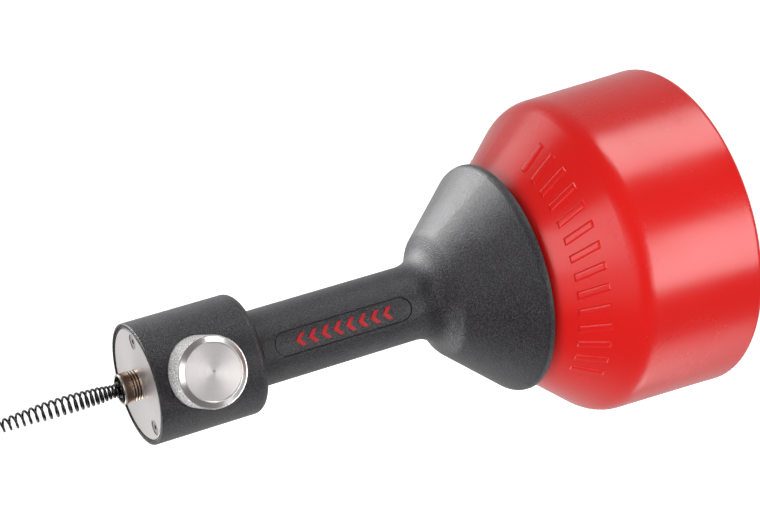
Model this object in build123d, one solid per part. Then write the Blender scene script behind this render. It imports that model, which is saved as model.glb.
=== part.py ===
from build123d import *

import os
from math import cos, pi, radians, sin, sqrt, tan

# Drain snake machine: a hand-held drum auger with a push-button cable feed.
# The machine stands on its drum. Z is the spin axis, and +Z points out of the nozzle.
# The origin is the centre of the drum's rear rim. The push button faces -Y. Millimetres.

# ---------------------------------------------------------------- driving dimensions
TOP = 323.5                  # front edge of the head
WALL = 3.4                   # housing wall
FIT = 0.03                   # radial clearance of a fixed fit
RUNNING_FIT = 0.05           # radial clearance of a running fit

# Handle: head, grip and cone.
HEAD_RADIUS, HEAD_LENGTH, HEAD_FLOOR = 32.0, 60.2, 275.0
GRIP_RADIUS, GRIP_END = 20.2, 160.0
SHOULDER_RADIUS, SHOULDER_Z = 34.1, 151.0
RIM_RADIUS, RIM_Z, RIM_TOP_Z = 63.2, 113.5, 116.8   # a short straight band ends the cone
BADGE_Z, BADGE_LENGTH, BADGE_WIDTH, BADGE_DEPTH, BADGE_GAP = 213.8, 79.5, 13.2, 0.9, 0.5
BADGE_MARKS, BADGE_MARK_PITCH = 8, 7.2

# Front plate and nozzle.
PLATE_RADIUS, PLATE_BACK, PLATE_FRONT = 30.3, TOP - 3.5, TOP - 0.5
PLATE_SCREW_ANGLES = (66.0, 180.0, -66.0)   # from the button's direction
PLATE_SCREW_CIRCLE, PLATE_SCREW_HEAD = 24.4, 3.8
NOZZLE_RADIUS, NOZZLE_TIP, NOZZLE_BACK = 8.0, TOP + 9.3, 311.2
THREAD_PITCH, THREAD_DEPTH, THREAD_RIDGES = 1.5, 0.85, 3

# Push button and feed rollers. Heights are over the spin axis, with the button at rest.
BUTTON_Z, BUTTON_RADIUS, BUTTON_TOP = TOP - 25.5, 18.4, 47.3
BUTTON_TRAVEL = 6.0
PLUNGER_RADIUS = 4.0
ROLLER_RADIUS, ROLLER_LENGTH = 6.0, 10.0
ROLLER_SKEW = 25.0           # degrees, which turns the cable's spin into feed
ROLLER_GAP = 0.3             # between a fixed roller and the cable
AXLE_RADIUS = 2.0
FIXED_ROLLER_ANGLES = (120, -120)           # from the button's direction
GUIDE_LOW, GUIDE_HIGH, GUIDE_SCREW_X = 25.4, 28.9, 12.6

# Spindle that the drum turns on.
SPINDLE_RADIUS, SPINDLE_END, SPINDLE_SCREW_CIRCLE = 11.0, 88.0, 21.8
FLANGE_TOP, FLANGE_THICKNESS, FLANGE_RADIUS = 148.0, 4.0, 26.0
GUIDE_TUBE_RADIUS = 5.0
HUB_BORE, HUB_RADIUS = 14.0, 18.0
QUARTERS = (45, 135, 225, 315)              # where four screws sit
THIRDS = (0, 120, 240)

# Drum and its rear cover.
DRUM_FRONT_Z, DRUM_FRONT_RADIUS = 111.3, 55.5
DRUM_SHOULDER_Z, DRUM_SHOULDER_RADIUS = 72.5, 88.0
DRUM_LIP_Z, DRUM_LIP_RADIUS = 18.0, 89.4
DRUM_REAR_RADIUS, DRUM_BORE = 90.0, 85.2
RECESS_RADIUS, RECESS_Z = 85.6, 7.2         # takes the rear cover's edge
COVER_BACK, COVER_SCREW_CIRCLE = 4.2, 80.4
WELL_RADIUS, WELL_FLOOR_Z = 64.0, 33.0

# Drive hex and folding crank.
HEX_ACROSS_FLATS, DRIVE_FLANGE_RADIUS, DRIVE_SCREW_CIRCLE = 10.0, 18.0, 13.5
CRANK_X, CRANK_Y, CRANK_Z = -34.0, 38.0, 21.5   # the crank's pivot
CRANK_PIN_RADIUS, CRANK_SHAFT_RADIUS = 2.5, 3.7
KNOB_RADIUS = 10.0

# Cable: the turns stored in the drum, and the open coil at its end.
CABLE_RADIUS = 3.2
TURN_RADIUS, TURN_PITCH, TURNS, FIRST_TURN_Z = 74.0, 6.75, 10, 11.6
POINTS_PER_TURN = 12
AUGER_RADIUS = 4.0           # outer radius of the open coil, as a plain tube
AUGER_END = (-0.8, 0.1, 402)

HEAD_REAR = TOP - HEAD_LENGTH
FIXED_ROLLER = CABLE_RADIUS + ROLLER_GAP + ROLLER_RADIUS
MOVING_ROLLER = FIXED_ROLLER + BUTTON_TRAVEL


# ---------------------------------------------------------------- helpers
def turned(*outline):
    """A solid of revolution about Z. Each point is (radius, z) or (radius, z, corner radius)."""
    points = [(p[0], 0, p[1]) for p in outline]
    corners = [p[2] if len(p) > 2 else 0 for p in outline]
    return revolve(make_face(FilletPolyline(*points, radius=corners, close=True)), Axis.Z)


def rod(radius, low, high, x=0, y=0):
    """A cylinder along Z between two heights."""
    return Pos(x, y, (low + high) / 2) * Cylinder(radius, high - low)


def tube(outer, inner, low, high):
    """A rod with a bore right through."""
    return rod(outer, low, high) - rod(inner, low - 1, high + 1)


def block(x, y, z):
    """A box between pairs of coordinates."""
    size = [b - a for a, b in (x, y, z)]
    middle = [(a + b) / 2 for a, b in (x, y, z)]
    return Pos(*middle) * Box(*size)


def around(shape, angles):
    """Copies of a shape, turned about Z."""
    return [Rot(0, 0, angle) * shape for angle in angles]


def drill(body, hole, angles):
    """Cuts a hole at each of several angles about Z."""
    for cut in around(hole, angles):
        body -= cut
    return body


def on_button(shape):
    """Places a shape drawn about Z on the button's axis, with Z as the height over the spin axis."""
    return Pos(0, 0, BUTTON_Z) * Rot(90, 0, 0) * shape


def hex_prism(across_flats, low, high):
    """A hexagonal bar about Z."""
    return Pos(0, 0, low) * extrude(RegularPolygon(across_flats / sqrt(3), 6), high - low)


def cap_screw(head_radius, head_height, shank_radius, length, key):
    """A socket screw with its head's underside at z = 0 and its shank along -Z."""
    head = rod(head_radius, 0, head_height)
    head = chamfer(head.edges().group_by(Axis.Z)[-1], head_height * 0.2)
    socket = hex_prism(key, head_height * 0.4, head_height + 1)
    return head + rod(shank_radius, -length, 0.01) - socket


def corner_radii(points):
    """The largest tangent arcs that the runs between the points allow."""
    radii = []
    for before, corner, after in zip(points, points[1:], points[2:]):
        first, second = Vector(*corner) - Vector(*before), Vector(*after) - Vector(*corner)
        half_turn = radians(first.get_angle(second)) / 2
        radii.append(0.45 * min(first.length, second.length) / tan(half_turn))
    return radii


def cord_tube(name, points, radius):
    """A round tube of straight runs joined by tangent arcs. Prints its radii, length and volume."""
    radii = corner_radii(points)
    route = FilletPolyline(*points, radius=radii)
    start = Plane(origin=route @ 0, z_dir=route % 0)
    solid = sweep(start * Circle(radius), path=route)
    expected = pi * radius ** 2 * route.length
    print(name, "length", round(route.length, 1), "volume", round(solid.volume), "of", round(expected))
    print(name, "radii", [round(r, 1) for r in radii[-12:]], "tightest", round(min(radii), 1))
    return solid


# ---------------------------------------------------------------- handle
def stadium(length, width, low, high):
    """A rounded bar along Z on the button's side, between two heights over the spin axis."""
    end = Circle(width / 2)
    half = (length - width) / 2
    outline = Rectangle(width, 2 * half) + Pos(0, half) * end + Pos(0, -half) * end
    return Pos(0, 0, BADGE_Z) * Rot(90, 0, 0) * Pos(0, 0, low) * extrude(outline, high - low)


def grip_band(outer, inner):
    """A shallow band round the grip, along the badge."""
    return tube(outer, inner, GRIP_END, HEAD_REAR)


def handle_housing():
    """One turned shell: the cone over the drum, the grip and the open head."""
    rim_width, flange_seat = 6.5, FLANGE_TOP - FLANGE_THICKNESS - 4
    shell = turned(
        (0, RIM_Z), (RIM_RADIUS, RIM_Z, 0.6), (RIM_RADIUS, RIM_TOP_Z, 5), (SHOULDER_RADIUS, SHOULDER_Z, 9),
        (GRIP_RADIUS, GRIP_END, 16), (GRIP_RADIUS, HEAD_REAR, 2.5), (HEAD_RADIUS, HEAD_REAR, 4.5),
        (HEAD_RADIUS, TOP, 0.7), (0, TOP))
    shell -= rod(PLATE_RADIUS + 0.3, PLATE_BACK, TOP + 1)
    shell -= rod(HEAD_RADIUS - WALL, HEAD_FLOOR, PLATE_BACK + 1)
    shell -= rod(GUIDE_TUBE_RADIUS + RUNNING_FIT, HEAD_REAR, HEAD_FLOOR + 1)
    shell -= rod(GRIP_RADIUS - WALL, FLANGE_TOP - 1, HEAD_FLOOR - 9)
    shell -= rod(FLANGE_RADIUS + 0.3, flange_seat - 1, FLANGE_TOP)
    shell -= turned(
        (0, RIM_Z - 1), (RIM_RADIUS - rim_width, RIM_Z - 1), (39, flange_seat), (0, flange_seat))
    shell -= on_button(rod(BUTTON_RADIUS + 0.35, 10, 40))
    shell = drill(shell, rod(2.0, 265.5, HEAD_FLOOR + 1, 0, -PLATE_SCREW_CIRCLE), PLATE_SCREW_ANGLES)
    shell = drill(shell, rod(2.0, FLANGE_TOP - 1, 155, SPINDLE_SCREW_CIRCLE), QUARTERS)
    band = grip_band(GRIP_RADIUS + 1, GRIP_RADIUS - BADGE_DEPTH)
    return shell - (stadium(BADGE_LENGTH, BADGE_WIDTH, 10, 30) & band)


def grip_badge():
    """A plain inlay that fills the shallow recess on the grip."""
    plate = stadium(BADGE_LENGTH - 2 * BADGE_GAP, BADGE_WIDTH - 2 * BADGE_GAP, 10, 30)
    return plate & grip_band(GRIP_RADIUS - 0.4, GRIP_RADIUS - BADGE_DEPTH)


def badge_marks():
    """Plain chevrons that point to the nozzle, raised on the inlay."""
    half_width, slope, stroke = 3.4, 3.0, 2.6
    band = grip_band(GRIP_RADIUS - 0.05, GRIP_RADIUS - 0.4)
    marks = []
    for k in range(BADGE_MARKS):
        z = BADGE_Z + BADGE_MARK_PITCH * (k - (BADGE_MARKS - 1) / 2)
        chevron = Polygon(
            (-half_width, z - slope), (0, z), (half_width, z - slope),
            (half_width, z - slope + stroke), (0, z + stroke), (-half_width, z - slope + stroke), align=None)
        marks.append(Rot(90, 0, 0) * extrude(chevron, 30) & band)
    return marks


def front_plate():
    """The turned disc that closes the head, with countersunk holes and a fine groove inside its edge."""
    sink_radius, hole_radius = PLATE_SCREW_HEAD + 0.4, 2.2
    groove_radius, groove_width, groove_depth = PLATE_RADIUS - 0.7, 0.8, 0.45
    plate = rod(PLATE_RADIUS, PLATE_BACK, PLATE_FRONT)
    plate = chamfer(plate.edges().group_by(Axis.Z)[-1], 0.3)
    plate -= rod(NOZZLE_RADIUS + FIT, PLATE_BACK - 1, TOP)
    plate -= tube(groove_radius, groove_radius - groove_width, PLATE_FRONT - groove_depth, TOP)
    sink = turned(
        (0, PLATE_BACK - 1), (hole_radius, PLATE_BACK - 1), (hole_radius, PLATE_FRONT - 2.5),
        (sink_radius, PLATE_FRONT - 0.5), (sink_radius, TOP), (0, TOP))
    return drill(plate, Pos(0, -PLATE_SCREW_CIRCLE, 0) * sink, PLATE_SCREW_ANGLES)


def plate_screws():
    """Countersunk socket screws that hold the front plate and the feed block in the head."""
    end, shank, top = 266.5, 1.95, PLATE_FRONT - 0.3
    screw = turned(
        (0, end), (shank, end, 0.5), (shank, top - 2.2), (PLATE_SCREW_HEAD, top - 0.3),
        (PLATE_SCREW_HEAD, top), (0, top))
    screw -= hex_prism(2.5, top - 1.8, top + 1)
    return around(Pos(0, -PLATE_SCREW_CIRCLE, 0) * screw, PLATE_SCREW_ANGLES)


def nozzle():
    """The collar that the cable leaves through, threaded behind a plain lip."""
    mouth, throat, bore = 7.0, 5.6, 4.1
    body = turned(
        (bore, NOZZLE_BACK), (NOZZLE_RADIUS - 0.8, NOZZLE_BACK), (NOZZLE_RADIUS, NOZZLE_BACK + 0.8),
        (NOZZLE_RADIUS, NOZZLE_TIP, 0.4), (mouth, NOZZLE_TIP, 0.3), (throat, NOZZLE_TIP - 3),
        (throat - 0.3, TOP + 1.5), (bore, TOP - 1.5))
    outside = NOZZLE_RADIUS + 0.3
    for k in range(THREAD_RIDGES):
        z = TOP + 0.7 + THREAD_PITCH * k
        body -= turned((NOZZLE_RADIUS - THREAD_DEPTH, z), (outside, z - 0.7), (outside, z + 0.7))
    return body


# ---------------------------------------------------------------- feed mechanism
def roller_frame(angle, distance):
    """Where a feed roller sits: its own Z along its axle, at an angle from the button's direction."""
    return Pos(0, 0, BUTTON_Z) * Rot(0, 0, angle) * Pos(0, -distance, 0) * Rot(0, ROLLER_SKEW, 0)


def roller(angle, distance):
    """A hardened feed roller with a running bore and chamfered ends."""
    half, edge, bore = ROLLER_LENGTH / 2, 0.6, AXLE_RADIUS + RUNNING_FIT
    body = turned(
        (bore, -half), (ROLLER_RADIUS - edge, -half), (ROLLER_RADIUS, edge - half),
        (ROLLER_RADIUS, half - edge), (ROLLER_RADIUS - edge, half), (bore, half))
    return roller_frame(angle, distance) * body


def roller_pocket(half_length):
    """A skewed slot from a roller outwards, with room beyond each end of the roller."""
    half_width = ROLLER_RADIUS + 0.6
    slot = block((-half_width, half_width), (-40, -3), (-half_length, half_length))
    return Rot(0, ROLLER_SKEW, 0) * slot


def feed_block():
    """The carrier in the head. It holds the two fixed rollers and guides the button's plunger."""
    cup_floor = 17.0
    body = rod(HEAD_RADIUS - WALL - 0.3, HEAD_FLOOR, PLATE_BACK - 0.3)
    body -= rod(CABLE_RADIUS + 1, HEAD_FLOOR - 1, TOP)
    body -= rod(NOZZLE_RADIUS + FIT, NOZZLE_BACK - 0.2, TOP)
    body -= on_button(rod(BUTTON_RADIUS + 0.6, cup_floor + 0.5, 40) - rod(15, cup_floor, GUIDE_LOW - 0.1))
    body -= Pos(0, 0, BUTTON_Z) * roller_pocket(ROLLER_LENGTH / 2 + 3.2)
    for angle in FIXED_ROLLER_ANGLES:
        body -= Pos(0, 0, BUTTON_Z) * Rot(0, 0, angle) * roller_pocket(ROLLER_LENGTH / 2 + 0.4)
        body -= roller_frame(angle, FIXED_ROLLER) * rod(AXLE_RADIUS + 0.01, -9.6, 40)
    body = drill(body, rod(2.2, HEAD_FLOOR - 1, TOP, 0, -PLATE_SCREW_CIRCLE), PLATE_SCREW_ANGLES)
    for z in (-GUIDE_SCREW_X, GUIDE_SCREW_X):
        body -= on_button(rod(1.2, GUIDE_LOW - 7.1, GUIDE_LOW + 1, 0, z))
    return body


def fixed_axles():
    """The two short axles pressed into the feed block."""
    return [roller_frame(angle, FIXED_ROLLER) * rod(AXLE_RADIUS, -9.5, 9.5) for angle in FIXED_ROLLER_ANGLES]


def button_guide():
    """The disc over the moving roller. The button's plunger slides in its bore."""
    disc = rod(14.8, GUIDE_LOW, GUIDE_HIGH) - rod(PLUNGER_RADIUS + RUNNING_FIT, 20, 30)
    for z in (-GUIDE_SCREW_X, GUIDE_SCREW_X):
        disc -= rod(1.35, 20, 30, 0, z)
    return on_button(disc)


def guide_screws():
    """Two small socket screws that hold the guide disc."""
    screw = cap_screw(2.1, 1.4, 1.18, 8, 1.3)
    return [on_button(Pos(0, z, GUIDE_HIGH + RUNNING_FIT) * screw) for z in (-GUIDE_SCREW_X, GUIDE_SCREW_X)]


def push_button():
    """The turned cap: a plain side, a polished bevel, a thin raised ring and a flat face."""
    face, rim, skirt, inside, low = 14.9, BUTTON_TOP - 1.9, BUTTON_TOP - 3.6, 16.2, 24.5
    cap = turned(
        (0, skirt), (inside, skirt), (inside, low), (BUTTON_RADIUS, low, 0.4), (BUTTON_RADIUS, rim, 0.35),
        (BUTTON_RADIUS - 0.7, rim + 0.15, 0.2), (face + 0.3, BUTTON_TOP, 0.3), (face - 0.2, BUTTON_TOP),
        (face - 0.45, BUTTON_TOP - 0.25), (0.9, BUTTON_TOP - 0.25), (0, BUTTON_TOP - 0.7))
    cap -= rod(2.0, skirt - 0.4, skirt + 2)
    return on_button(cap)


def button_plunger():
    """The stem under the cap and the fork that carries the moving roller."""
    top = BUTTON_TOP - 3.65
    half_gap, cheek, half_width = ROLLER_LENGTH / 2 + 0.3, 2.5, 5.6
    half_fork = half_gap + cheek
    stem = rod(PLUNGER_RADIUS, 24.5, top) + rod(1.9, top - 0.01, top + 1.9)
    fork = block((-half_width, half_width), (-half_fork, half_fork), (MOVING_ROLLER - 4.2, 25.0))
    fork -= block((-9, 9), (-half_gap, half_gap), (0, MOVING_ROLLER + ROLLER_RADIUS + 0.6))
    fork -= Pos(0, 0, MOVING_ROLLER) * Rot(90, 0, 0) * Cylinder(AXLE_RADIUS + 0.01, 30)
    return on_button(stem + Rot(0, 0, -ROLLER_SKEW) * fork)


def plunger_axle():
    """The axle across the plunger's fork."""
    return roller_frame(0, MOVING_ROLLER) * rod(AXLE_RADIUS, -7.8, 7.8)


def button_spring():
    """The return spring round the plunger, between the guide disc and the cap."""
    wire, coil, turns, low, high = 0.6, 6.4, 4.5, GUIDE_HIGH + 0.7, BUTTON_TOP - 4.3
    path = Helix(pitch=(high - low) / turns, height=high - low, radius=coil)
    section = Plane(origin=path @ 0, z_dir=path % 0) * Circle(wire)
    return on_button(Pos(0, 0, low) * sweep(section, path=path, is_frenet=True))


# ---------------------------------------------------------------- spindle and drum bearing
def guide_tube():
    """The thin tube that leads the cable up the grip to the head."""
    return tube(GUIDE_TUBE_RADIUS, 4.0, FLANGE_TOP - 1.6, HEAD_FLOOR - 0.1)


def spindle():
    """The hollow steel journal that the drum turns on. It is bolted into the handle's cone."""
    low, high, bore, socket = FLANGE_TOP - FLANGE_THICKNESS, FLANGE_TOP - 0.05, 4.2, GUIDE_TUBE_RADIUS + FIT
    groove = SPINDLE_RADIUS - 1
    body = turned(
        (bore, SPINDLE_END + 4), (bore + 2.6, SPINDLE_END, 0.5), (SPINDLE_RADIUS, SPINDLE_END, 0.8),
        (SPINDLE_RADIUS, 90.3), (groove, 90.3), (groove, 92.3), (SPINDLE_RADIUS, 92.3), (SPINDLE_RADIUS, low),
        (FLANGE_RADIUS, low, 0.5), (FLANGE_RADIUS, high, 0.5), (9, high), (9, FLANGE_TOP + 10),
        (socket, FLANGE_TOP + 10), (socket, FLANGE_TOP - 1.8), (bore, FLANGE_TOP - 1.8))
    return drill(body, rod(2.2, low - 1, FLANGE_TOP + 1, SPINDLE_SCREW_CIRCLE), QUARTERS)


def spindle_screws():
    """Four socket screws through the spindle's flange into the cone."""
    place = Pos(SPINDLE_SCREW_CIRCLE, 0, FLANGE_TOP - FLANGE_THICKNESS - 0.05) * Rot(180, 0, 0)
    return around(place * cap_screw(3.5, 2.6, 1.95, 10.4, 3), QUARTERS)


def thrust_washer():
    """The ring between the drum's hub and the spindle's flange."""
    return tube(17, SPINDLE_RADIUS + 0.3, 141.2, 143.8)


def bush(low, high, flange_low, flange_high):
    """A flanged plain bearing pressed into the drum's hub."""
    inner = SPINDLE_RADIUS + RUNNING_FIT
    return tube(HUB_BORE - 0.02, inner, low, high) + tube(17, inner, flange_low, flange_high)


def front_bush():
    return bush(125.0, 138.02, 138.02, 141.0)


def rear_bush():
    return bush(94.98, 107.0, 92.7, 94.98)


def retaining_ring():
    """A snap ring in the spindle's groove, with its gap."""
    ring = tube(14.2, SPINDLE_RADIUS - 0.9, 90.5, 92.1)
    return ring - block((0, 20), (-2.4, 2.4), (90, 93))


# ---------------------------------------------------------------- drum
def drum_shell():
    """The moulded drum: a straight barrel, a cone, and a long hub for its bearings."""
    roof, hub_low, hub_high, boss_top = DRUM_FRONT_Z - 3.1, 95, 138, 24
    shell = turned(
        (HUB_BORE, hub_low), (HUB_RADIUS, hub_low), (HUB_RADIUS, roof), (53.7, roof, 2),
        (DRUM_BORE, 70.8, 13), (DRUM_BORE, RECESS_Z), (RECESS_RADIUS, RECESS_Z), (RECESS_RADIUS, 0, 0.5),
        (DRUM_REAR_RADIUS, 0, 3.0), (DRUM_LIP_RADIUS, DRUM_LIP_Z),
        (DRUM_SHOULDER_RADIUS, DRUM_SHOULDER_Z, 17), (DRUM_FRONT_RADIUS, DRUM_FRONT_Z, 1),
        (HUB_RADIUS, DRUM_FRONT_Z), (HUB_RADIUS, hub_high), (HUB_BORE, hub_high))
    boss = rod(4.2, RECESS_Z + 0.1, boss_top, COVER_SCREW_CIRCLE)
    boss += block((COVER_SCREW_CIRCLE, DRUM_BORE + 1), (-2, 2), (RECESS_Z + 0.1, boss_top))
    boss -= rod(1.75, RECESS_Z - 0.2, boss_top - 4, COVER_SCREW_CIRCLE)
    for support in around(boss, QUARTERS):
        shell += support
    return shell


def crank_lug():
    """One of the two ears that hold the crank's pin, drawn about the pin's middle."""
    half_width, half_thickness, height = 7, 2, WELL_FLOOR_Z + 1 - CRANK_Z
    plate = block((-half_width, half_width), (-half_thickness, half_thickness), (0, height))
    plate += Rot(90, 0, 0) * Cylinder(half_width, 2 * half_thickness)
    return plate - Rot(90, 0, 0) * Cylinder(CRANK_PIN_RADIUS + 0.02, 10)


def rear_cover():
    """The moulded rear cover. Its well takes the drill's chuck and the folded crank."""
    edge, skin, lug_offset = RECESS_RADIUS - 0.3, 3.0, 6.2
    flange_top = RECESS_Z - 0.1
    cover = turned(
        (0, WELL_FLOOR_Z), (WELL_RADIUS, WELL_FLOOR_Z, 2), (WELL_RADIUS, COVER_BACK, 1.5),
        (edge, COVER_BACK, 0.8), (edge, flange_top), (WELL_RADIUS + skin, flange_top),
        (WELL_RADIUS + skin, WELL_FLOOR_Z + skin, skin), (20, WELL_FLOOR_Z + skin), (20, 45), (0, 45))
    for offset in (-lug_offset, lug_offset):
        cover += Pos(CRANK_X, CRANK_Y + offset, CRANK_Z) * crank_lug()
    cover = drill(cover, rod(2.2, 3, 9, COVER_SCREW_CIRCLE), QUARTERS)
    return drill(cover, rod(2.2, WELL_FLOOR_Z - 1, 43, DRIVE_SCREW_CIRCLE), THIRDS)


def cover_screws():
    """Four socket screws through the rear cover into the drum's bosses."""
    place = Pos(COVER_SCREW_CIRCLE, 0, COVER_BACK - 0.05) * Rot(180, 0, 0)
    return around(place * cap_screw(3.6, 2.2, 1.72, 14, 2.5), QUARTERS)


def drive_shaft():
    """The hex that a drill's chuck grips, on a round flange."""
    end, corner, flange_low, flange_high = 5.0, 6.2, 30.0, WELL_FLOOR_Z - 0.05
    shaft = hex_prism(HEX_ACROSS_FLATS, end, flange_low + 0.5)
    shaft &= turned((0, end), (corner - 1.6, end), (corner, end + 1.6), (corner, 31), (0, 31))
    shaft += turned(
        (0, flange_low), (DRIVE_FLANGE_RADIUS, flange_low, 0.8), (DRIVE_FLANGE_RADIUS, flange_high),
        (0, flange_high))
    return drill(shaft, rod(2.2, 29, 34, DRIVE_SCREW_CIRCLE), THIRDS)


def drive_screws():
    """Three socket screws that hold the drive flange to the rear cover."""
    place = Pos(DRIVE_SCREW_CIRCLE, 0, 29.95) * Rot(180, 0, 0)
    return around(place * cap_screw(3.6, 2.2, 2.15, 12, 2.5), THIRDS)


# ---------------------------------------------------------------- crank
def crank_pin():
    """The hinge pin through the lugs and the lever's eye."""
    return Pos(CRANK_X, CRANK_Y, CRANK_Z) * Rot(90, 0, 0) * Cylinder(CRANK_PIN_RADIUS, 17.6)


def crank_lever():
    """The folding lever: an eye between the cover's lugs, and the shaft that the knob turns on."""
    eye_radius, eye_thickness, shaft_start, shaft_end = 6, 7.8, CRANK_X + 4, 30
    eye = Rot(90, 0, 0) * Cylinder(eye_radius, eye_thickness)
    pin_hole = Rot(90, 0, 0) * Cylinder(CRANK_PIN_RADIUS + RUNNING_FIT, eye_thickness + 2)
    shaft = rod(CRANK_SHAFT_RADIUS, shaft_start, shaft_end) - rod(1.75, shaft_end - 11, shaft_end + 1)
    lever = Pos(CRANK_X, CRANK_Y, CRANK_Z) * eye + Pos(0, CRANK_Y, CRANK_Z) * Rot(0, 90, 0) * shaft
    return lever - Pos(CRANK_X, CRANK_Y, CRANK_Z) * pin_hole


def crank_knob():
    """A waisted grip with a running bore, and a counterbore for its screw."""
    bore, low, high, counterbore = CRANK_SHAFT_RADIUS + RUNNING_FIT, -24, 33.5, 29.6
    knob = turned(
        (bore, low), (KNOB_RADIUS - 1.6, low, 1.5), (KNOB_RADIUS, -17, 6), (KNOB_RADIUS - 1.4, 2, 20),
        (KNOB_RADIUS, 24, 6), (KNOB_RADIUS - 0.8, high, 2), (7, high), (7, counterbore), (bore, counterbore))
    return Pos(0, CRANK_Y, CRANK_Z) * Rot(0, 90, 0) * knob


def knob_screw():
    """The large-headed screw that keeps the knob on its shaft."""
    return Pos(30.05, CRANK_Y, CRANK_Z) * Rot(0, 90, 0) * cap_screw(6.2, 2.4, 1.74, 10, 3)


# ---------------------------------------------------------------- cable
def turn_point(turns, radius=TURN_RADIUS):
    """A point on the stored turns, counted from the anchored end."""
    angle = 2 * pi * turns
    return (radius * cos(angle), radius * sin(angle), FIRST_TURN_Z + TURN_PITCH * turns)


def middle(a, b):
    return tuple((p + q) / 2 for p, q in zip(a, b))


def cable_coil():
    """The turns stored in the drum, from the anchor at the rear to the take-off at the front."""
    points = [turn_point(k / POINTS_PER_TURN) for k in range(TURNS * POINTS_PER_TURN + 1)]
    points[-1] = middle(points[-2], points[-1])
    return cord_tube("cable_coil", points, CABLE_RADIUS)


def cable_lead():
    """From the stored turns, in over the well, and up the spin axis to the nozzle."""
    last = turn_point(TURNS)
    start = middle(turn_point(TURNS - 1 / POINTS_PER_TURN), last)
    points = [
        start, last, (61.5, 35.5, 79.2), (33, 57, 76.5), (0, 61, 71), (-30, 48, 64), (-45, 22, 57.5),
        (-38, -4, 52.5), (-18, -13, 54.5), (-4, -6, 65), (0, 0, 80), (0, 0, NOZZLE_TIP - 1.35)]
    return cord_tube("cable_lead", points, CABLE_RADIUS)


def cable_clamp():
    """The saddle on the rear cover that anchors the cable's end."""
    start, following = Vector(*turn_point(0)), Vector(*turn_point(1 / POINTS_PER_TURN))
    body = block((TURN_RADIUS - 6.6, TURN_RADIUS + 5.6), (-9, 7), (RECESS_Z - 0.08, FIRST_TURN_Z + 3))
    bed = Plane(origin=start, z_dir=following - start).location * rod(CABLE_RADIUS + FIT, -0.05, 20)
    return body - bed


def auger_coil():
    """The open coil at the cable's end, from the nozzle outwards, with a slight bend."""
    points = [(0, 0, NOZZLE_TIP - 1.3), (0.25, 0, 349), (0.45, 0.1, 367), (0.15, 0.15, 385), AUGER_END]
    return cord_tube("auger_coil", points, AUGER_RADIUS)


def auger_tip():
    """The closed end turns of the auger, as one rounded solid in line with the coil."""
    lean = Vector(-0.95, -0.05, 17)
    radius, length = 3.3, 7.5
    tip = turned((0, 0), (radius, 0), (radius, 4, 1), (radius - 1.1, length, 1.2), (0, length))
    return Plane(origin=AUGER_END, z_dir=lean).location * tip


# ---------------------------------------------------------------- writing
SUBPARTS = {
    "handle_housing": handle_housing, "grip_badge": grip_badge, "badge_marks": badge_marks,
    "front_plate": front_plate, "plate_screws": plate_screws, "nozzle": nozzle,
    "feed_block": feed_block, "fixed_axles": fixed_axles, "button_guide": button_guide,
    "guide_screws": guide_screws, "push_button": push_button, "button_plunger": button_plunger,
    "plunger_axle": plunger_axle, "button_spring": button_spring,
    "guide_tube": guide_tube, "spindle": spindle, "spindle_screws": spindle_screws,
    "thrust_washer": thrust_washer, "front_bush": front_bush, "rear_bush": rear_bush,
    "retaining_ring": retaining_ring, "drum_shell": drum_shell, "rear_cover": rear_cover,
    "cover_screws": cover_screws, "drive_shaft": drive_shaft, "drive_screws": drive_screws,
    "crank_pin": crank_pin, "crank_lever": crank_lever, "crank_knob": crank_knob, "knob_screw": knob_screw,
    "cable_coil": cable_coil, "cable_lead": cable_lead, "cable_clamp": cable_clamp,
    "auger_coil": auger_coil, "auger_tip": auger_tip,
    "left_feed_roller": lambda: roller(-120, FIXED_ROLLER),
    "right_feed_roller": lambda: roller(120, FIXED_ROLLER),
    "moving_feed_roller": lambda: roller(0, MOVING_ROLLER),
}


def main():
    """Builds every sub-part and writes it to its own file."""
    os.makedirs("parts", exist_ok=True)
    for name, make in SUBPARTS.items():
        made = make()
        pieces = made if isinstance(made, list) else [made]
        solids = [solid for piece in pieces for solid in piece.solids()]
        whole = Compound(children=solids) if len(solids) > 1 else solids[0]
        export_step(whole, f"parts/{name}.step")


main()
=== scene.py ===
import bmesh
import bpy
from math import cos, pi, radians, sin, tau
from mathutils import Matrix, Vector


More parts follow.
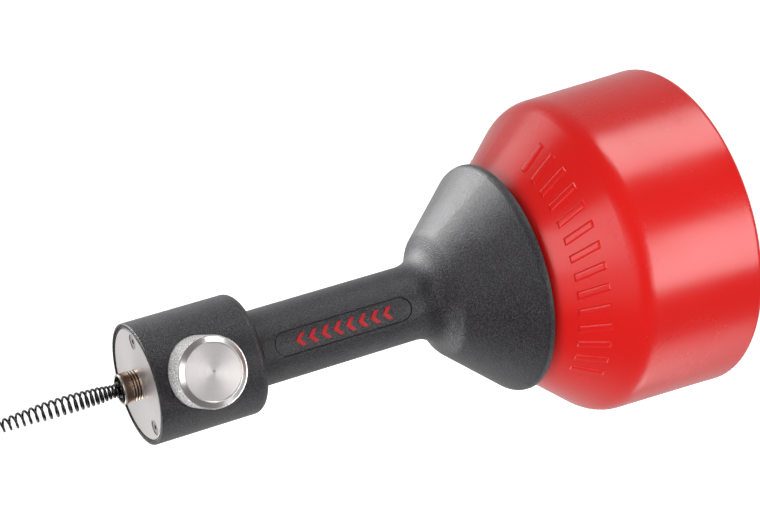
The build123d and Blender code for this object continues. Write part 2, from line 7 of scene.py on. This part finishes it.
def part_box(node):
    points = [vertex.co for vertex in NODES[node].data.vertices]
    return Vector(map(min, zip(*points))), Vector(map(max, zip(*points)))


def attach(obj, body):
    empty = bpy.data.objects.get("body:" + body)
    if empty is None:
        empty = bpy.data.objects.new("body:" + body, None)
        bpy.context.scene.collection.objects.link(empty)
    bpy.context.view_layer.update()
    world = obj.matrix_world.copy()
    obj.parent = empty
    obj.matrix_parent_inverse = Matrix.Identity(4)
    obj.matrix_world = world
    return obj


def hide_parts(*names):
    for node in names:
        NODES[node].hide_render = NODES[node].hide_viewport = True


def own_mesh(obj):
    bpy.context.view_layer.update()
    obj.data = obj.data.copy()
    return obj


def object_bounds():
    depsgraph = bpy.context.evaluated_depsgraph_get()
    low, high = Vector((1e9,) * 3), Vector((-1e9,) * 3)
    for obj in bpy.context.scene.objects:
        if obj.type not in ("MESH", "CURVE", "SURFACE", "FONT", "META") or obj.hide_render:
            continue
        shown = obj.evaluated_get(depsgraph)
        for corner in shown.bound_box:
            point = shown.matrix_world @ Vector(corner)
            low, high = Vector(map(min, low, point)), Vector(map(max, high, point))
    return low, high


# Drain snake machine: finishes, auger wire, raised trim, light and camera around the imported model.
# Metres, in the model's own frame: +Z is the spin axis towards the nozzle, and the push button faces -Y.
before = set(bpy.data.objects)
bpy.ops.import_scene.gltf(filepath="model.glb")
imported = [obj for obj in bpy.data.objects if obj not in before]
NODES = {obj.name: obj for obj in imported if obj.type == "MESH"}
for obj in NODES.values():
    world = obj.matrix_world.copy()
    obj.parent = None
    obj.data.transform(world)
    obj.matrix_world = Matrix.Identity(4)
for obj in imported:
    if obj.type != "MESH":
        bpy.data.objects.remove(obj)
CAD_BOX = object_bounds()
MM = 0.001


# ---------------------------------------------------------------- sizes, some read from the model's parts
CRANK_ROOM = 60 * MM   # below the rear rim, where the crank swings out
FLOOR_Z = CAD_BOX[0].z - CRANK_ROOM
NOZZLE_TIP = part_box("nozzle")[1].z
PLATE_GROOVE = 29.6 * MM   # radius of the groove near the front plate's edge
BUTTON_LOW, BUTTON_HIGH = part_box("push_button")
BUTTON_CENTRE = (BUTTON_LOW + BUTTON_HIGH) / 2
BUTTON_RADIUS = (BUTTON_HIGH.x - BUTTON_LOW.x) / 2


# ---------------------------------------------------------------- camera, floor and light
CAMERA_PLACE = Vector((0.12115, -1.11523, 0.66348))
CAMERA_AIM = Vector((0.02733, 0.00219, 0.17498))
CAMERA_UP = Vector((0.96621, -0.03049, -0.25595))
CAMERA_LENS = 108.97


def facing(place, aim, up=Vector((0, 0, 1))):
    """The matrix of a camera or light at a place that looks at an aim, with its own top towards up."""
    back = (place - aim).normalized()
    right = up.cross(back).normalized()
    turn = Matrix((right, back.cross(right), back)).transposed()
    return Matrix.Translation(place) @ turn.to_4x4()


def make_camera():
    """The photograph's view, fitted to the machine's outlines."""
    camera = bpy.data.objects.new("camera", bpy.data.cameras.new("camera"))
    camera.data.lens = CAMERA_LENS
    camera.data.clip_start, camera.data.clip_end = 0.05, 50
    camera.matrix_world = facing(CAMERA_PLACE, CAMERA_AIM, CAMERA_UP)
    bpy.context.scene.collection.objects.link(camera)
    bpy.context.scene.camera = camera


VIEW = facing(CAMERA_PLACE, CAMERA_AIM, CAMERA_UP).to_3x3()
LIGHT_DISTANCE = 1.5
HANDLE_SKIN = ("handle_housing", "grip_badge")   # the black moulded outside of the handle


def softbox(name, direction, width, height, radiance, in_gloss=True, only=()):
    """A rectangular light that looks at the machine. Its direction is right, up and towards the camera.

    It may be kept out of reflections, or fall on some nodes only."""
    data = bpy.data.lights.new(name, "AREA")
    data.shape = "RECTANGLE"
    data.size, data.size_y = width, height
    data.energy = radiance * pi * width * height
    light = bpy.data.objects.new(name, data)
    place = CAMERA_AIM + VIEW @ Vector(direction).normalized() * LIGHT_DISTANCE
    light.matrix_world = facing(place, CAMERA_AIM, CAMERA_UP)
    light.visible_camera = False
    light.visible_glossy = in_gloss
    if only:
        lit = bpy.data.collections.new(name + "_falls_on")
        for node in only:
            lit.objects.link(NODES[node])
        light.light_linking.receiver_collection = lit
    bpy.context.scene.collection.objects.link(light)


def make_light():
    """Nine softboxes. Two fall on the handle's black skin only, and the fill isn't seen in reflections."""
    softbox("top_softbox", (0.42, 0.86, 0.20), 0.55, 0.75, 7.2)
    softbox("right_softbox", (0.86, -0.10, 0.50), 0.50, 0.82, 8.0)
    softbox("left_softbox", (-0.50, -0.05, 0.86), 0.50, 0.95, 3.6)
    softbox("rear_softbox", (-0.74, 0.60, -0.30), 0.90, 0.80, 2.2)
    softbox("rear_spot", (-0.74, 0.60, -0.30), 0.55, 0.45, 60.0, only=HANDLE_SKIN)
    softbox("low_spot", (-0.62, -0.72, -0.30), 0.60, 0.50, 9.0, only=HANDLE_SKIN)
    softbox("low_softbox", (0.55, -0.76, -0.34), 0.90, 0.40, 2.0)
    softbox("low_left_softbox", (-0.62, -0.72, -0.30), 0.60, 0.50, 4.0)
    softbox("soft_fill", (-0.30, -0.35, 0.88), 1.20, 1.20, 4.6, in_gloss=False)


WORLD_FRONT, WORLD_BACK = 0.22, 0.70


def make_world():
    """A white backdrop behind the machine and a dim room in front of it. Seen directly, it is white."""
    world = bpy.data.worlds.new("studio")
    world.use_nodes = True
    nodes, links = world.node_tree.nodes, world.node_tree.links
    direction = nodes.new("ShaderNodeTexCoord").outputs["Generated"]
    along = nodes.new("ShaderNodeVectorMath")
    along.operation = "DOT_PRODUCT"
    links.new(direction, along.inputs[0])
    along.inputs[1].default_value = (CAMERA_AIM - CAMERA_PLACE).normalized()
    strength = nodes.new("ShaderNodeMapRange")
    strength.interpolation_type = "SMOOTHSTEP"
    links.new(along.outputs["Value"], strength.inputs["Value"])
    limits = {"From Min": -0.2, "From Max": 0.6, "To Min": WORLD_FRONT, "To Max": WORLD_BACK}
    for key, number in limits.items():
        strength.inputs[key].default_value = number
    room = nodes["Background"]
    room.inputs["Color"].default_value = (1, 1, 1, 1)
    links.new(strength.outputs["Result"], room.inputs["Strength"])
    seen = nodes.new("ShaderNodeBackground")
    choice = nodes.new("ShaderNodeMixShader")
    links.new(nodes.new("ShaderNodeLightPath").outputs["Is Camera Ray"], choice.inputs[0])
    links.new(room.outputs[0], choice.inputs[1])
    links.new(seen.outputs[0], choice.inputs[2])
    seen.inputs["Color"].default_value = (1, 1, 1, 1)
    links.new(choice.outputs[0], nodes["World Output"].inputs["Surface"])
    bpy.context.scene.world = world


def make_floor():
    """A pale lit floor, seen from above only. Lights below its level still reach the machine."""
    half = 6.0
    mesh = bpy.data.meshes.new("floor")
    corners = [(x, y, FLOOR_Z) for x, y in ((-half, -half), (half, -half), (half, half), (-half, half))]
    mesh.from_pydata(corners, [], [(0, 1, 2, 3)])
    floor = bpy.data.objects.new("floor", mesh)
    bpy.context.scene.collection.objects.link(floor)
    material = bpy.data.materials.new("pale_floor")
    material.use_nodes = True
    shader = material.node_tree.nodes["Principled BSDF"]
    shader.inputs["Base Color"].default_value = (0.6, 0.6, 0.6, 1)
    shader.inputs["Roughness"].default_value = 0.9
    shader.inputs["Specular IOR Level"].default_value = 0
    shader.inputs["Emission Color"].default_value = (1, 1, 1, 1)
    shader.inputs["Emission Strength"].default_value = 0.9
    nodes, links = material.node_tree.nodes, material.node_tree.links
    choice = nodes.new("ShaderNodeMixShader")
    links.new(nodes.new("ShaderNodeNewGeometry").outputs["Backfacing"], choice.inputs[0])
    links.new(shader.outputs[0], choice.inputs[1])
    links.new(nodes.new("ShaderNodeBsdfTransparent").outputs[0], choice.inputs[2])
    links.new(choice.outputs[0], nodes["Material Output"].inputs["Surface"])
    mesh.materials.append(material)
    floor.visible_glossy = floor.visible_diffuse = floor.visible_shadow = False


# ---------------------------------------------------------------- materials
class Surface:
    """A node-built material in the model's own coordinates. Each method adds one kind of detail."""

    def __init__(self, name, colour, roughness, metallic=0.0):
        self.material = bpy.data.materials.new(name)
        self.material.use_nodes = True
        self.nodes = self.material.node_tree.nodes
        self.shader = self.nodes["Principled BSDF"]
        self.set(Metallic=metallic, Roughness=roughness)
        self.shader.inputs["Base Color"].default_value = (*colour, 1)
        self.place = self.node("ShaderNodeTexCoord").outputs["Object"]
        self.normal = None

    def node(self, kind, settings=None, **inputs):
        """A new node. Each input is a number, a colour, or another node's output."""
        made = self.nodes.new(kind)
        for key, value in (settings or {}).items():
            setattr(made, key, value)
        for key, value in inputs.items():
            self.plug(made.inputs[key.replace("_", " ")], value)
        return made

    def plug(self, socket, value):
        if isinstance(value, bpy.types.NodeSocket):
            self.material.node_tree.links.new(value, socket)
        else:
            socket.default_value = value

    def set(self, **values):
        """Plain values on the shader's own sockets."""
        for key, value in values.items():
            self.shader.inputs[key.replace("_", " ")].default_value = value

    def maths(self, operation, first, second=0.0):
        made = self.nodes.new("ShaderNodeMath")
        made.operation = operation
        self.plug(made.inputs[0], first)
        self.plug(made.inputs[1], second)
        return made.outputs[0]

    def noise(self, scale, detail=3.0, place=None):
        return self.node("ShaderNodeTexNoise", Vector=place or self.place, Scale=scale, Detail=detail,
                         Roughness=0.55).outputs["Fac"]

    def spread(self, value, low, high, start=0.3, end=0.7):
        """Stretches a 0 to 1 pattern to run from low to high."""
        made = self.node("ShaderNodeMapRange", Value=value)
        for key, number in (("From Min", start), ("From Max", end), ("To Min", low), ("To Max", high)):
            made.inputs[key].default_value = number
        return made.outputs["Result"]

    def bump(self, pattern, depth, strength=1.0):
        made = self.node("ShaderNodeBump", Height=pattern, Distance=depth, Strength=strength)
        if self.normal:
            self.plug(made.inputs["Normal"], self.normal)
        self.normal = made.outputs["Normal"]
        self.plug(self.shader.inputs["Normal"], self.normal)

    def tint(self, pattern, first, second):
        """Colours that follow a 0 to 1 pattern. They are returned, so that another tint can go over them."""
        made = self.node("ShaderNodeMix", {"data_type": "RGBA"})
        self.plug(made.inputs["Factor"], pattern)
        for slot, colour in ((6, first), (7, second)):
            self.plug(made.inputs[slot], colour if isinstance(colour, bpy.types.NodeSocket) else (*colour, 1))
        self.plug(self.shader.inputs["Base Color"], made.outputs[2])
        return made.outputs[2]

    def rough(self, pattern, low, high):
        self.plug(self.shader.inputs["Roughness"], self.spread(pattern, low, high))

    def turned(self, axis, anisotropy):
        """Draws the highlights out across the marks of a lathe tool, round one of the model's axes."""
        self.set(Anisotropic=anisotropy, Anisotropic_Rotation=0.25)
        tangent = self.node("ShaderNodeTangent", {"direction_type": "RADIAL", "axis": axis})
        self.plug(self.shader.inputs["Tangent"], tangent.outputs[0])

    def radius_from(self, centre, axis):
        """The distance of a point from an axis through centre, along one of the model's axes."""
        moved = self.node("ShaderNodeVectorMath", {"operation": "SUBTRACT"})
        self.plug(moved.inputs[0], self.place)
        self.plug(moved.inputs[1], tuple(centre))
        flat = self.node("ShaderNodeVectorMath", {"operation": "MULTIPLY"})
        self.plug(flat.inputs[0], moved.outputs[0])
        self.plug(flat.inputs[1], tuple(0.0 if name == axis else 1.0 for name in "XYZ"))
        length = self.node("ShaderNodeVectorMath", {"operation": "LENGTH"})
        self.plug(length.inputs[0], flat.outputs[0])
        return length.outputs["Value"]

    def rings(self, centre, axis, spacing):
        """A noise that changes only with the distance from an axis, as a lathe tool leaves."""
        across = self.radius_from(centre, axis)
        along = self.node("ShaderNodeCombineXYZ", X=self.maths("DIVIDE", across, spacing))
        return self.noise(1.0, 2.0, along.outputs["Vector"])


GRAIN_DEPTH = 0.45   # of the mould grain, as a share of its size


def moulded_black(name, colour, roughness, grain):
    """Spark-eroded mould grain whose facets glint, with faint handling marks. Its colour carries painted
    glint on the raised facets and painted shade between them.
    """
    s = Surface(name, colour, roughness)
    s.set(Specular_IOR_Level=0.5, Sheen_Weight=0.02, Sheen_Roughness=0.4)
    facets = s.noise(1 / grain, 1.5)
    # Painted glint and shade: the colour follows the facets of the bump, lighter on the raised ones and
    # darker between them.
    s.tint(s.spread(facets, 0, 1, 0.42, 0.66), [c * 0.3 for c in colour], [c * 5.5 for c in colour])
    s.rough(s.noise(35, 6), roughness - 0.06, roughness + 0.07)
    s.bump(facets, grain * GRAIN_DEPTH)
    s.bump(s.noise(60, 2), 0.00025, 0.25)
    return s.material


def moulded_red(name):
    """Glossy red polyethylene: a faint orange peel, flow marks and soft scuffs."""
    s = Surface(name, (0.57, 0.006, 0.004), 0.25)
    s.set(Specular_IOR_Level=0.45, Subsurface_Weight=0.06, Subsurface_Scale=0.002)
    s.shader.inputs["Subsurface Radius"].default_value = (1.0, 0.25, 0.15)
    s.tint(s.spread(s.noise(7, 4), 0, 1), (0.55, 0.005, 0.0035), (0.59, 0.007, 0.005))
    s.rough(s.noise(22, 6), 0.22, 0.29)
    s.bump(s.noise(1600, 2), 0.00002)
    s.bump(s.noise(30, 2), 0.0002, 0.2)
    return s.material


def turned_metal(name, colour, roughness, centre, axis, spacing, depth):
    """Metal with concentric tool marks round an axis."""
    s = Surface(name, colour, roughness, 1.0)
    s.turned(axis, 0.6)
    marks = s.rings(centre, axis, spacing)
    s.tint(s.spread(s.noise(60, 4), 0, 1), [c * 0.92 for c in colour], [min(1, c * 1.06) for c in colour])
    s.rough(marks, roughness * 0.8, roughness * 1.25)
    s.bump(marks, depth)
    return s.material


def nickel_plate():
    """Fine turned nickel, with painted shade as a dark line in the groove near its edge."""
    colour = (0.90, 0.862, 0.855)
    s = Surface("nickel_plate", colour, 0.42, 1.0)
    s.turned("Z", 0.3)
    off_groove = s.maths("ABSOLUTE", s.maths("SUBTRACT", s.radius_from((0, 0, 0), "Z"), PLATE_GROOVE))
    # Painted shade: a dark line of colour along the groove near the plate's edge.
    s.tint(s.spread(off_groove, 0, 1, 0.30 * MM, 0.45 * MM), (0.10, 0.09, 0.09), colour)
    marks = s.rings((0, 0, 0), "Z", 0.00018)
    s.rough(marks, 0.34, 0.52)
    s.bump(marks, 0.00001)
    return s.material


def red_enamel():
    """Opaque paint on the badge marks, a little uneven."""
    s = Surface("red_enamel", (0.33, 0.004, 0.008), 0.5)
    s.set(Specular_IOR_Level=0.3)
    s.tint(s.noise(400), (0.28, 0.003, 0.006), (0.38, 0.006, 0.010))
    s.rough(s.noise(300), 0.42, 0.6)
    s.bump(s.noise(900), 0.00002)
    return s.material


def nozzle_bronze():
    """Browned brass, with painted shade that makes its bore black, and painted highlights on its lip and, in
    patches, on its thread crests.
    """
    # Colours: the brown metal, a bright painted highlight, and the bore's near-black painted shade.
    brown, painted_highlight_colour, painted_bore_shade = (0.33, 0.22, 0.16), (0.78, 0.72, 0.66), (0.012, 0.010, 0.009)
    s = Surface("nozzle_bronze", brown, 0.2, 1.0)
    across = s.radius_from((0, 0, 0), "Z")
    height = s.node("ShaderNodeSeparateXYZ", Vector=s.place).outputs["Z"]
    lip = s.spread(height, 0, 1, NOZZLE_TIP - 1.1 * MM, NOZZLE_TIP - 0.7 * MM)
    crest = s.spread(across, 0, 1, 7.75 * MM, 7.95 * MM)
    thread = s.maths("MULTIPLY", crest, s.spread(height, 1, 0, NOZZLE_TIP - 4.9 * MM, NOZZLE_TIP - 4.6 * MM))
    outside = s.spread(across, 0, 1, 6.9 * MM, 7.1 * MM)
    patches = s.spread(s.noise(260, 3), 0, 1, 0.42, 0.6)
    # Painted highlight: the lip, and the thread crests in patches, take a bright nickel colour.
    painted_highlight_mask = s.maths("MAXIMUM", lip, s.maths("MULTIPLY", thread, s.spread(patches, 0.35, 1, 0, 1)))
    metal = s.tint(painted_highlight_mask, brown, painted_highlight_colour)
    # Painted shade: inside the bore the colour is near black.
    s.tint(outside, painted_bore_shade, metal)
    marks = s.rings((0, 0, 0), "Z", 0.0002)
    s.rough(marks, 0.14, 0.24)
    s.bump(marks, 0.00001)
    return s.material


def button_aluminium():
    """A fine turned face and a polished bevel, over a bead-blasted side."""
    face, light_pit, dark_pit = (0.68, 0.645, 0.635), (1.0, 0.99, 0.98), (0.28, 0.27, 0.27)
    s = Surface("button_aluminium", face, 0.30, 1.0)
    s.turned("Y", 0.38)
    across = s.radius_from(BUTTON_CENTRE, "Y")
    side = s.spread(across, 0, 1, BUTTON_RADIUS - 0.25 * MM, BUTTON_RADIUS - 0.15 * MM)
    marks = s.rings(BUTTON_CENTRE, "Y", 0.00016)
    pits = s.noise(1800, 2)
    s.plug(s.shader.inputs["Metallic"], s.spread(side, 1.0, 0.6, 0, 1))
    rougher_side = s.maths("MULTIPLY", side, 0.3)
    s.plug(s.shader.inputs["Roughness"], s.maths("ADD", s.spread(marks, 0.26, 0.38), rougher_side))
    blasted = s.tint(s.spread(pits, 0, 1, 0.4, 0.6), dark_pit, light_pit)
    s.tint(side, face, blasted)
    s.bump(marks, 0.000012)
    s.bump(s.maths("MULTIPLY", pits, side), 0.0002)
    return s.material


def plain_metal(name, colour, roughness, grain=0.0006, stretch=(1, 1, 1)):
    """Ground, cast or drawn metal, with its grain drawn out along the short scales of stretch."""
    s = Surface(name, colour, roughness, 1.0)
    drawn = s.node("ShaderNodeVectorMath", {"operation": "MULTIPLY"})
    s.plug(drawn.inputs[0], s.place)
    s.plug(drawn.inputs[1], stretch)
    marks = s.noise(1 / grain, 3, drawn.outputs[0])
    s.tint(s.spread(s.noise(90, 4), 0, 1), [c * 0.85 for c in colour], [min(1, c * 1.1) for c in colour])
    s.rough(marks, roughness * 0.8, roughness * 1.3)
    s.bump(marks, grain * 0.05)
    return s.material


def wire_steel():
    """Dark spring wire, in random darker and lighter patches, as of oil and wear."""
    s = Surface("wire_steel", (0.05, 0.048, 0.05), 0.22, 1.0)
    s.tint(s.spread(s.noise(700, 4), 0, 1), (0.012, 0.012, 0.012), (0.10, 0.095, 0.095))
    s.rough(s.noise(900, 3), 0.14, 0.3)
    s.bump(s.noise(2500, 2), 0.00004)
    return s.material


def paint(material, *names):
    for name in names:
        slots = NODES[name].data.materials
        slots.clear()
        slots.append(material)


def finish_cad_nodes():
    origin = (0, 0, 0)
    paint(moulded_black("black_housing", (0.0065, 0.0058, 0.0070), 0.43, 0.00065), *HANDLE_SKIN)
    paint(moulded_black("black_cover", (0.013, 0.013, 0.0135), 0.52, 0.0008), "rear_cover", "cable_clamp")
    paint(moulded_black("black_knob", (0.009, 0.009, 0.0095), 0.46, 0.0006), "crank_knob")
    paint(moulded_red("red_drum"), "drum_shell")
    paint(red_enamel(), "badge_marks")
    paint(nickel_plate(), "front_plate")
    paint(nozzle_bronze(), "nozzle")
    paint(button_aluminium(), "push_button")
    steel = (0.48, 0.47, 0.46)
    paint(plain_metal("zinc_screws", (0.55, 0.54, 0.52), 0.32, 0.0005), "plate_screws", "guide_screws",
          "spindle_screws", "cover_screws", "drive_screws", "knob_screw")
    paint(plain_metal("die_cast", (0.55, 0.55, 0.56), 0.5, 0.0009), "feed_block", "button_guide",
          "button_plunger")
    paint(turned_metal("turned_steel", steel, 0.25, origin, "Z", 0.0002, 0.00001), "spindle", "guide_tube",
          "drive_shaft")
    paint(plain_metal("drawn_steel", steel, 0.28, 0.0005, (0.1, 1, 1)), "crank_lever", "crank_pin",
          "fixed_axles", "plunger_axle")
    paint(plain_metal("hard_steel", (0.36, 0.36, 0.36), 0.2, 0.0004), "left_feed_roller", "right_feed_roller",
          "moving_feed_roller", "button_spring", "retaining_ring")
    paint(plain_metal("sintered_bronze", (0.52, 0.36, 0.16), 0.45, 0.0005), "front_bush", "rear_bush",
          "thrust_washer")
    paint(wire_steel(), "cable_coil", "cable_lead")


# ---------------------------------------------------------------- auger wire
AUGER_ROUTE = [(0, 0, 331.5), (0.25, 0, 349), (0.45, 0.1, 367), (0.15, 0.15, 385), (-0.8, 0.1, 402)]
WIRE_RADIUS = 0.62 * MM
CLOSE_PITCH, EXTRA_PITCH, OPEN_SHARE = 1.75, 1.8, 0.45   # mm at the nozzle, mm more, and where it is reached
COIL_STEP = 0.16 * MM   # between points along the auger's middle


def route_points():
    """Points read from the smooth curve through the auger's route."""
    curve = bpy.data.curves.new("auger_route", "CURVE")
    curve.dimensions = "3D"
    curve.resolution_u = 24
    spline = curve.splines.new("NURBS")
    spline.points.add(len(AUGER_ROUTE) - 1)
    for point, place in zip(spline.points, AUGER_ROUTE):
        point.co = (*(c * MM for c in place), 1)
    spline.order_u = 3
    spline.use_endpoint_u = True
    line = bpy.data.objects.new("auger_route", curve)
    bpy.context.scene.collection.objects.link(line)
    mesh = bpy.data.meshes.new_from_object(line)
    points = [v.co.copy() for v in mesh.vertices]
    bpy.data.objects.remove(line)
    return points


def along(points, distance):
    """The place and direction at a distance along a line of points."""
    for a, b in zip(points, points[1:]):
        step = (b - a).length
        if distance <= step or b is points[-1]:
            return a + (b - a) * (distance / step), (b - a).normalized()
        distance -= step


def tube_mesh(name, places, radius, sides=10):
    """A round wire through places, with a frame carried along it so that it doesn't twist."""
    mesh = bmesh.new()
    side = (places[1] - places[0]).orthogonal().normalized()
    rings = []
    for k, place in enumerate(places):
        ahead = (places[min(k + 1, len(places) - 1)] - places[max(k - 1, 0)]).normalized()
        side = (side - ahead * side.dot(ahead)).normalized()
        other = ahead.cross(side)
        turns = [tau * j / sides for j in range(sides)]
        rings.append([mesh.verts.new(place + (side * cos(t) + other * sin(t)) * radius) for t in turns])
    for a, b in zip(rings, rings[1:]):
        for j in range(sides):
            mesh.faces.new((a[j], a[(j + 1) % sides], b[(j + 1) % sides], b[j]))
    mesh.faces.new(rings[0][::-1])
    mesh.faces.new(rings[-1])
    return as_piece(name, mesh)


def as_piece(name, mesh):
    """A smooth-shaded object made from a bmesh."""
    mesh.normal_update()
    data = bpy.data.meshes.new(name)
    mesh.to_mesh(data)
    mesh.free()
    data.polygons.foreach_set("use_smooth", [True] * len(data.polygons))
    piece = bpy.data.objects.new(name, data)
    bpy.context.scene.collection.objects.link(piece)
    return piece


def coil_radius(share):
    """The auger bulges after it leaves the nozzle, then tapers to its tip."""
    shape = [(0, 4.3), (0.06, 3.0), (0.2, 3.9), (0.38, 4.3), (0.55, 4.2), (0.75, 3.4), (0.92, 2.8), (1, 2.3)]
    for (a, ra), (b, rb) in zip(shape, shape[1:]):
        if share <= b:
            t = (share - a) / (b - a)
            return (ra + (rb - ra) * t * t * (3 - 2 * t)) * MM
    return shape[-1][1] * MM


def make_auger(steel):
    """The open coil, as the wire that it really is, and the closed turns at its end."""
    points = route_points()
    length = sum((b - a).length for a, b in zip(points, points[1:]))
    places, turn, distance = [], 0.0, 0.0
    side = Vector((1, 0, 0))
    while distance < length:
        share = distance / length
        pitch = (CLOSE_PITCH + EXTRA_PITCH * min(1, share / OPEN_SHARE)) * MM
        centre, ahead = along(points, distance)
        side = (side - ahead * side.dot(ahead)).normalized()
        other = ahead.cross(side)
        places.append(centre + (side * cos(turn) + other * sin(turn)) * coil_radius(share))
        turn += tau * COIL_STEP / pitch
        distance += COIL_STEP
    coil = tube_mesh("auger_wire", places, WIRE_RADIUS)
    coil.data.materials.append(steel)
    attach(coil, "drum")
    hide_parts("auger_coil")
    paint(steel, "auger_tip")


# ---------------------------------------------------------------- button spring
SPRING_WIRE = 0.6 * MM
SPRING_TURNS, SPRING_STEPS = 6.5, 36   # turns, and places along each turn


def make_button_spring():
    """The return spring under the button, closed at both ends."""
    low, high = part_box("button_spring")
    radius = (high.x - low.x) / 2 - SPRING_WIRE
    closed = 2.1 * SPRING_WIRE
    rise = (high.y - low.y - 2 * SPRING_WIRE - 2 * closed) / (SPRING_TURNS - 2)
    places = []
    for k in range(int(SPRING_TURNS * SPRING_STEPS) + 1):
        turn = k / SPRING_STEPS
        open_turns = min(max(turn - 1, 0), SPRING_TURNS - 2)
        out = SPRING_WIRE + closed * (turn - open_turns) + rise * open_turns
        side = Vector((cos(tau * turn), 0, sin(tau * turn))) * radius
        places.append(Vector((BUTTON_CENTRE.x, high.y - out, BUTTON_CENTRE.z)) + side)
    spring = tube_mesh("return_spring", places, SPRING_WIRE)
    spring.data.materials.append(NODES["button_spring"].data.materials[0])
    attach(spring, "handle")
    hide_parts("button_spring")
    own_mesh(spring)


# ---------------------------------------------------------------- raised trim on the drum
CONE_FRONT = Vector((55.5 * MM, 111.3 * MM))
CONE_REAR = Vector((88.0 * MM, 72.5 * MM))


def on_cone(angle, share, height):
    """A point at an angle round the drum, a share of the way down its cone, and a height off its skin."""
    down = CONE_REAR - CONE_FRONT
    out = Vector((-down.y, down.x)).normalized()
    radius, z = CONE_FRONT + down * share + out * height
    return Vector((radius * cos(angle), radius * sin(angle), z))


def raised_bar(mesh, angle, width, first, last, lean):
    """A rounded slanted rib on the cone, between two shares of its slope. Its skirt goes into the skin."""
    rows, columns, height, sunk, soft = 20, 10, 0.6 * MM, 0.3 * MM, 0.9 * MM
    length = (CONE_REAR - CONE_FRONT).length * (last - first)
    grid = []
    for i in range(rows + 1):
        v = (1 - cos(pi * i / rows)) / 2
        row = []
        for j in range(columns + 1):
            u = (1 - cos(pi * j / columns)) / 2
            edge = min(1, min(u, 1 - u) * width / soft, min(v, 1 - v) * length / soft)
            lift = (height + sunk) * sin(edge * pi / 2) - sunk
            share = first + (last - first) * v
            radius = CONE_FRONT.x + (CONE_REAR.x - CONE_FRONT.x) * share
            turn = ((u - 0.5) * width + lean * (v - 0.5)) / radius
            row.append(mesh.verts.new(on_cone(angle + turn, share, lift)))
        grid.append(row)
    for a, b in zip(grid, grid[1:]):
        for j in range(columns):
            mesh.faces.new((a[j], b[j], b[j + 1], a[j + 1]))
    rim = grid[0] + [row[-1] for row in grid[1:]] + grid[-1][-2::-1] + [row[0] for row in grid[-2:0:-1]]
    mesh.faces.new(rim)


RIB_FIRST_ANGLE, RIB_STEP, RIBS = radians(-145), radians(8.6), 14
RIB_WIDTH, RIB_LEAN = 4.8 * MM, 4.0 * MM
RIB_START, RIB_END = 0.28, 0.64   # shares of the cone's slope


def make_drum_trim(red):
    """Plain slanted ribs on the drum's cone, in two groups on opposite sides."""
    mesh = bmesh.new()
    for side in (0, pi):
        for k in range(RIBS):
            angle = side + RIB_FIRST_ANGLE + RIB_STEP * k
            raised_bar(mesh, angle, RIB_WIDTH, RIB_START, RIB_END, RIB_LEAN)
    trim = as_piece("drum_ribs", mesh)
    trim.data.materials.append(red)
    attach(trim, "drum")


# ---------------------------------------------------------------- making
make_camera()
steel_wire = wire_steel()
make_auger(steel_wire)
make_floor()
make_world()
make_light()
finish_cad_nodes()
make_drum_trim(NODES["drum_shell"].data.materials[0])
make_button_spring()
bpy.context.scene.view_settings.view_transform = "Standard"
